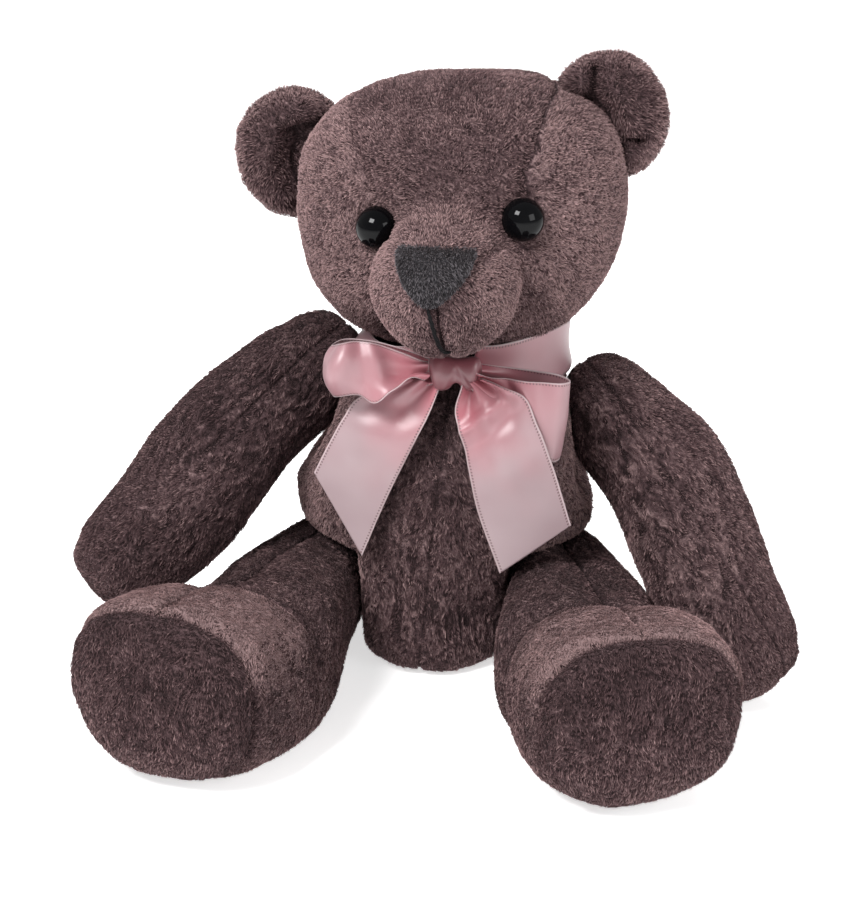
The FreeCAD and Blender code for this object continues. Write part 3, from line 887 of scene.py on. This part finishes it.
def make_mouth():
    """Embroidery: three twisted strands down the muzzle, with a small hook at the end."""
    outline = [(-3.6, -8.2), (-3.3, -10.5), (-2.9, -13.2), (-2.5, -17), (-2.0, -21), (-1.2, -22.5),
               (0.1, -22.7)]
    t = np.linspace(0, 1, 60)
    knots = np.linspace(0, 1, len(outline))
    x = smooth_curve(t, knots, [a for a, _ in outline])
    z = smooth_curve(t, knots, [b for _, b in outline])
    line = HEAD.out([surface_point(head_core, np.array((a, -30.0, b)), -Y) for a, b in zip(x, z)])
    all_points, all_faces, offset = [], [], 0
    tangent = unit(np.gradient(line, axis=0))
    side = unit(np.cross(tangent, -Y))
    up = np.cross(side, tangent)
    swell = 0.18 + 0.13 * np.sin(t * math.pi) ** 0.8
    for strand in range(3):
        phase = t * 18 + strand * 2 * math.pi / 3
        path = line + (np.cos(phase) * swell)[:, None] * side + (np.sin(phase) * swell * 0.6)[:, None] * up
        points, faces = tube(path, swell * 0.95)
        all_points.append(points)
        all_faces += [tuple(i + offset for i in f) for f in faces]
        offset += len(points)
    made = mesh_object("mouth_threads", np.concatenate(all_points), all_faces)
    finish_piece(made, thread_material(), "head", "thread", "mouth_stitch")


# Ribbon

RIBBON_WIDTH = 22.0
RIBBON_THICKNESS = 0.22
SELVAGE = 0.38          # width of its woven edge, painted lighter as a highlight along it
STITCH_LINE = 0.72      # how far in from the edge the row of stitches runs
KNOT = np.array((6.6, -35.6, 86.9))


def satin_material():
    """Pale pink, painted a deeper pink near the knot and inside the loops for light bouncing between folds,
    and painted darker on the knot as shade, with a woven edge painted lighter as a highlight and a row of
    stitches beside it.
    """
    made, tree, shader = material("satin")
    across, along, painted_fold_shade = [stored(tree, name) for name in ("across", "along", "painted_fold_shade")]
    inside = sums(tree, "SUBTRACT", 1.0, sums(tree, "ABSOLUTE", across))
    edge = sums(tree, "MULTIPLY", inside, RIBBON_WIDTH / 2)
    colour = ramp(tree, object_noise(tree, 60.0), [(0.3, (0.29, 0.203, 0.217)), (0.7, (0.33, 0.244, 0.258))])
    # painted bounce light: a deeper pink where light goes from fold to fold
    painted_bounce_pink = sums(tree, "MULTIPLY", painted_fold_shade, 1.25)
    # painted shade: only the knot, where the mark is full, is painted darker still
    dark = sums(tree, "MULTIPLY", sums(tree, "SUBTRACT", painted_fold_shade, 0.8), 5.0)
    # the woven edge is painted lighter, a painted highlight along it
    selvage = sums(tree, "LESS_THAN", edge, SELVAGE)
    dots = sums(tree, "GREATER_THAN", sums(tree, "SINE", sums(tree, "MULTIPLY", along, 7.4)), 0.1)
    stitch = sums(tree, "MULTIPLY", sums(tree, "COMPARE", edge, STITCH_LINE, 0.24), dots)
    for amount, tint in ((painted_bounce_pink, (0.38, 0.098, 0.125, 1)), (dark, (0.17, 0.048, 0.06, 1)),
                         (selvage, (0.44, 0.33, 0.34, 1)), (stitch, (0.12, 0.06, 0.066, 1))):
        colour = blend(tree, amount, colour, tint)
    weave = sums(tree, "MULTIPLY", sums(tree, "SINE", sums(tree, "MULTIPLY", across, 420.0)),
                 sums(tree, "SINE", sums(tree, "MULTIPLY", along, 9.0)))
    raised = sums(tree, "MULTIPLY_ADD", selvage, 4.0, weave)
    feed(tree, shader, {"Base Color": colour, "Normal": embossed(tree, raised, 0.12, 0.0001),
                        "Roughness": 0.38, "Specular IOR Level": 0.9, "Anisotropic": 0.4,
                        "Sheen Weight": 0.1, "Sheen Roughness": 0.4})
    return made


def fabric_grid(name, grid):
    """A closed mesh of ribbon on a grid of points: rows run along it, columns across it."""
    rows, columns = grid.shape[:2]
    along = np.gradient(grid, axis=0)
    across = np.gradient(grid, axis=1)
    normal = unit(np.cross(along, across)) * RIBBON_THICKNESS / 2
    points = np.concatenate([(grid + normal).reshape(-1, 3), (grid - normal).reshape(-1, 3)])
    back = rows * columns
    faces = []
    for i in range(rows - 1):
        for j in range(columns - 1):
            a, b = i * columns + j, (i + 1) * columns + j
            faces.append((a, b, b + 1, a + 1))
            faces.append((back + a, back + a + 1, back + b + 1, back + b))
    border = [i * columns for i in range(rows)]
    border += [(rows - 1) * columns + j for j in range(1, columns)]
    border += [i * columns + columns - 1 for i in range(rows - 2, -1, -1)]
    border += [j for j in range(columns - 2, 0, -1)]
    for a, b in zip(border, border[1:] + border[:1]):
        faces.append((b, a, back + a, back + b))
    made = mesh_object(name, points, faces)
    made.data.flip_normals()
    run = np.zeros((rows, columns))
    run[1:] = np.cumsum(np.linalg.norm(np.diff(grid, axis=0), axis=2), axis=0)
    number(made, "across", np.tile(np.linspace(-1, 1, columns), 2 * rows))
    number(made, "along", np.tile(run.ravel(), 2))
    # painted shade and bounce light: near the knot and inside a loop the satin is painted a deeper pink,
    # standing in for light going from fold to fold
    points, least = vertices(made), 0.0 if "tail" in name else 0.22
    reach = np.linalg.norm(points - KNOT, axis=1) + 5 * noise(points, 6, 81)
    number(made, "painted_fold_shade", least + (0.8 - least) * bump(reach.clip(0), 22))
    return made


def strip(name, first, second, crown, pleats=0.0, pleat_end=0.0, folds=(), rows=130, columns=40):
    """Ribbon between two edges given as matching points.

    crown is how far its middle bulges at each pair of points. pleats is how deep the
    gathers are at its start, and pleat_end at its end. folds holds (distance along it,
    slant, width, height) of ridges that cross it.
    """
    first, second = np.array(first, float), np.array(second, float)
    place = travelled((first + second) / 2)
    total = place[-1]
    t = np.linspace(0, total, rows)
    a = np.stack([smooth_curve(t, place, first[:, i]) for i in range(3)], 1)[:, None, :]
    b = np.stack([smooth_curve(t, place, second[:, i]) for i in range(3)], 1)[:, None, :]
    v = np.linspace(-1, 1, columns)[None, :, None]
    grid = a * (1 - v) / 2 + b * (1 + v) / 2
    normal = unit(np.cross(np.gradient(grid, axis=0), np.gradient(grid, axis=1)))
    height = smooth_curve(t, place, crown)[:, None] * (1 - v[:, :, 0] ** 2)
    start = pleats * np.exp(-t / 9)[:, None] * np.cos(v[:, :, 0] * 6.5 + 0.6 + t[:, None] * 0.02)
    end = pleat_end * np.exp(-(total - t) / 7)[:, None] * np.cos(v[:, :, 0] * 6.0 - 0.5)
    wave = 0.35 * noise(grid.reshape(-1, 3), 13, 51).reshape(rows, columns)
    ridges = sum(rise * bump(t[:, None] - start_at + slant * v[:, :, 0], width)
                 for start_at, slant, width, rise in folds)
    grid = grid + normal * (height + start + end + wave + ridges)[:, :, None]
    return fabric_grid(name, grid), total


def finish_ribbon(made, surface, node):
    """Puts the satin on a piece of ribbon, hangs it on the body and hides the CAD part it replaces."""
    finish_piece(made, surface, "body", "satin", node)


def make_ribbon():
    satin = satin_material()
    made, length = strip(
        "bow_loop_right",
        [(3.0, -33.5, 89), (-8, -32.5, 92.3), (-17, -32.2, 94), (-23.8, -33.4, 94.2), (-26, -36.4, 93.6),
         (-24, -39.2, 94.8), (-19, -39.6, 96), (-13, -38.6, 95), (-7.5, -37, 92.8), (-3, -35.8, 91),
         (0.8, -35.2, 90)],
        [(3.0, -34.5, 84), (-8, -34, 80.5), (-16, -34, 78.6), (-23, -34.8, 79.9), (-25.4, -37.6, 81.2),
         (-23, -41.4, 81.4), (-18, -43.8, 82.6), (-13.2, -45, 81), (-8.2, -44.2, 84.6), (-4.2, -42.2, 87.6),
         (-0.4, -39.2, 86)],
        [-0.5, -1.5, -2.5, -3.2, -3.2, -3.0, -2.2, -0.4, 2.8, 3.0, 0.8], 1.4, 1.5,
        [(36, 1.5, 2.6, -1.7), (41, -1, 2.2, 1.0), (46, -3, 2.0, -0.8), (30.5, 2.5, 2.4, 0.9)])
    finish_ribbon(made, satin, "ribbon_loop_right")
    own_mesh(made)
    made, length = strip(
        "bow_loop_left",
        [(11.5, -33.8, 89), (20, -31.8, 87.8), (28, -31, 86.8), (34.2, -31.5, 86), (36.6, -34, 85.5),
         (35.2, -36.8, 85.8), (29, -38.2, 86.4), (22, -38.2, 86.8), (16, -37.6, 87), (11.5, -37, 88.4)],
        [(11.5, -34, 83.4), (19, -33, 76.5), (26, -33.4, 70), (31.5, -34, 65.5), (34.8, -36.4, 64.6),
         (33.2, -39.2, 64.6), (28, -40, 68.5), (22, -39.6, 73), (16.5, -38.6, 78.5), (11.5, -37.4, 83.6)],
        [0, 1.2, 1.8, 1.2, 0.8, 0.8, 1.0, 1.0, 0.5, 0], 1.5, 1.5, [(37, 3, 3.0, 0.8), (42, 4, 2.0, -0.9)])
    finish_ribbon(made, satin, "ribbon_loop_left")
    inner = [(3.0, -35.6, 83.5), (1.6, -37.5, 79.6), (-0.1, -38.9, 75.5), (-4.2, -40.2, 67),
             (-10, -41.3, 54.6), (-17.4, -43, 36.5)]
    outer = [(-6, -35, 85), (-13, -36.4, 82.6), (-18.8, -38.2, 79.8), (-22.3, -39.6, 75),
             (-26, -40.6, 68.3), (-30.3, -41.5, 59.5)]
    made, _ = strip("bow_tail_right", outer, inner, [0, -1.4, -1.8, 0.6, 0.4, 0.2], 1.1, 0,
                    [(10, -1, 4.0, -0.7)])
    finish_tail(made, satin, "ribbon_tail_right")
    inner = [(9.4, -36.6, 84), (7.3, -37.8, 78), (8.8, -39.8, 71.3), (11.2, -41.2, 61.8),
             (13.8, -42.2, 50.3), (19.9, -43.5, 33.7)]
    outer = [(14.5, -38, 87), (24.2, -40.4, 83.7), (29.4, -41.8, 75.3), (33.2, -42.4, 65.3),
             (35.9, -42.4, 56.7), (38.5, -42.2, 48)]
    made, _ = strip("bow_tail_left", inner, outer, [0, 0.5, 1.6, 1.4, 0.8, 0.3], 2.0, 0,
                    [(9, 5, 1.8, 1.1), (14, 6, 2.4, -1.0), (24, 5, 6.0, 0.6)])
    finish_tail(made, satin, "ribbon_tail_left")
    make_band(satin)
    make_knot(satin)


def finish_tail(made, satin, node):
    """Finishes a tail like the rest of the ribbon; its two edges differ in length because its end is cut on
    the slant.
    """
    finish_ribbon(made, satin, node)


def make_band(satin):
    """The ribbon round the neck, doubled along its length with the fold at the bottom."""
    # across the ribbon: how far it stands off the neck, and its height
    profile = np.array([(0.5, 91.0), (0.8, 88), (1.0, 84), (0.9, 81.2), (0.45, 80.5), (-0.1, 81.2),
                        (-0.25, 84), (-0.3, 87), (-0.3, 90)])
    rows, columns = 200, 34
    place = travelled(profile)
    t = np.linspace(0, place[-1], columns)
    extra, height = smooth_curve(t, place, profile[:, 0]), smooth_curve(t, place, profile[:, 1])
    angle = np.linspace(math.radians(-80), math.radians(258), rows)
    half_x = smooth_curve(height, (80, 86, 91), (29.9, 27.4, 27.0))
    half_y = smooth_curve(height, (80, 86, 91), (27.4, 24.9, 24.3))
    circle = np.stack([np.cos(angle), np.sin(angle), 0 * angle], 1)
    ripple, lift = 0.5 * noise(circle * 20, 9, 61), 0.7 * noise(circle * 20, 14, 62)
    local = np.empty((rows, columns, 3))
    local[:, :, 0] = (half_x + extra)[None] * circle[:, :1] + 0.1 * (height - 80)
    local[:, :, 1] = (half_y + extra)[None] * circle[:, 1:2]
    local[:, :, :2] += ripple[:, None, None] * circle[:, None, :2]
    # it stands up under the left cheek and stays low under the right one
    rise = 5.2 * bump(angle + 0.45, 0.75) - 4.5 * bump(angle - 3.8, 0.6)
    local[:, :, 2] = height[None] + lift[:, None] + rise[:, None] * (height[None] - 80) / 11
    grid = BODY.out(local.reshape(-1, 3)).reshape(rows, columns, 3)
    made = fabric_grid("neck_ribbon", grid)
    finish_ribbon(made, satin, "ribbon_neck_band")
    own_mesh(made)


def make_knot(satin):
    """The turn of ribbon that holds the bow, drawn in at its two edges."""
    rows, columns = 96, 60
    turn = np.linspace(0, 2 * math.pi, rows, endpoint=False)[:, None]
    v = np.linspace(-1, 1, columns)[None]
    tight = np.sqrt(np.clip(1 - np.abs(v) ** 9, 0, 1)) * (1 - 0.16 * bump(v - 0.1, 0.5))
    crease = (bump(v - 0.35 + 0.5 * np.sin(turn), 0.12) - 0.8 * bump(v + 0.15 - 0.3 * np.sin(turn), 0.16)
              + 0.7 * bump(v + 0.55 - 0.2 * np.sin(turn), 0.14))
    low = np.clip(-np.sin(turn), 0, 1) ** 2
    points = np.empty((rows, columns, 3))
    points[:, :, 0] = 6.6 * v + 0.7 * np.sin(turn) * v
    points[:, :, 1] = 3.4 * np.cos(turn) * tight * (1 - 0.10 * crease)
    points[:, :, 2] = 5.0 * np.sin(turn) * tight + 2.0 * low * bump(v - 0.1, 0.24)
    points = (points + KNOT).reshape(-1, 3)
    faces = []
    for i in range(rows):
        for j in range(columns - 1):
            a, b = i * columns + j, (i + 1) % rows * columns + j
            faces.append((a, a + 1, b + 1, b))
    made = mesh_object("bow_knot", points, faces)
    modifier = made.modifiers.new("closed ends", "WELD")
    modifier.merge_threshold = 0.02 * MM
    apply_modifiers(made)
    spot = vertices(made) - KNOT
    number(made, "across", np.clip(spot[:, 0] / 6.9, -1, 0.9))
    number(made, "along", np.arctan2(spot[:, 2], spot[:, 1]) * 4.3)
    # painted shade: the whole knot takes the deepest pink and the darker knot tint
    number(made, "painted_fold_shade", np.ones(len(spot)))
    finish_piece(made, satin, "body", "satin", "ribbon_knot")


# Hidden hardware keeps its CAD shape

def plastic_material():
    made, tree, shader = material("moulded_plastic")
    colour = ramp(tree, object_noise(tree, 120.0), [(0.3, (0.60, 0.58, 0.53)), (0.7, (0.70, 0.68, 0.63))])
    feed(tree, shader, {"Base Color": colour, "Roughness": 0.45})
    return made


def dress_hardware():
    surface = plastic_material()
    for name, node in frame["nodes"].items():
        if name.endswith(("_disc", "_washer", "_lock")):
            node.data.materials.clear()
            node.data.materials.append(surface)


# Studio

def soft_light(name, place, aim, width, height, power):
    data = bpy.data.lights.new(name, "AREA")
    data.shape = "RECTANGLE"
    data.size, data.size_y = width, height
    data.energy = power
    made = bpy.data.objects.new(name, data)
    bpy.context.scene.collection.objects.link(made)
    made.location = place
    made.rotation_euler = (Vector(aim) - Vector(place)).to_track_quat("-Z", "Y").to_euler()


def make_studio():
    scene = bpy.context.scene
    scene.view_settings.view_transform = "Standard"
    world = bpy.data.worlds.new("studio")
    world.use_nodes = True
    background = world.node_tree.nodes["Background"]
    background.inputs["Color"].default_value = (1, 1, 1, 1)
    background.inputs["Strength"].default_value = 0.38
    scene.world = world
    size = 3.0
    points = np.array([(-size, -size, 0), (size, -size, 0), (size, size, 0), (-size, size, 0)]) / MM
    floor = mesh_object("floor", points, [(0, 1, 2, 3)])
    made, tree, shader = material("studio_floor")
    feed(tree, shader, {"Base Color": (0.97, 0.97, 0.97, 1), "Roughness": 0.9,
                        "Emission Color": (1, 1, 1, 1), "Emission Strength": 0.62})
    floor.data.materials.append(made)
    soft_light("key", (-0.35, -0.55, 0.75), (0, 0, 0.07), 0.35, 0.30, 10.5)
    soft_light("fill", (0.65, -0.45, 0.40), (0, 0, 0.08), 0.4, 0.4, 2.6)
    soft_light("back", (0.1, 0.6, 0.7), (0, 0, 0.1), 0.6, 0.4, 4.0)


def make_camera():
    """Seen from a little to the bear's left and above, about a bear's length and a half away."""
    azimuth, elevation, distance = math.radians(7), math.radians(21), 0.6
    toward = Vector((math.sin(azimuth) * math.cos(elevation), -math.cos(azimuth) * math.cos(elevation),
                     math.sin(elevation)))
    target = Vector((-0.0048, 0, 0.0505))
    data = bpy.data.cameras.new("camera")
    data.lens = 83.74
    data.sensor_width = 36
    data.sensor_fit = "AUTO"
    data.clip_start = 0.01
    made = bpy.data.objects.new("camera", data)
    bpy.context.scene.collection.objects.link(made)
    made.location = target + toward * distance
    made.rotation_euler = (-toward).to_track_quat("-Z", "Y").to_euler()
    bpy.context.scene.camera = made


make_camera()
make_studio()
make_body()
make_head()
for bear_side in SIDES:
    make_arm(bear_side)
    make_leg(bear_side)
make_eyes()
make_nose()
make_mouth()
make_ribbon()
dress_hardware()
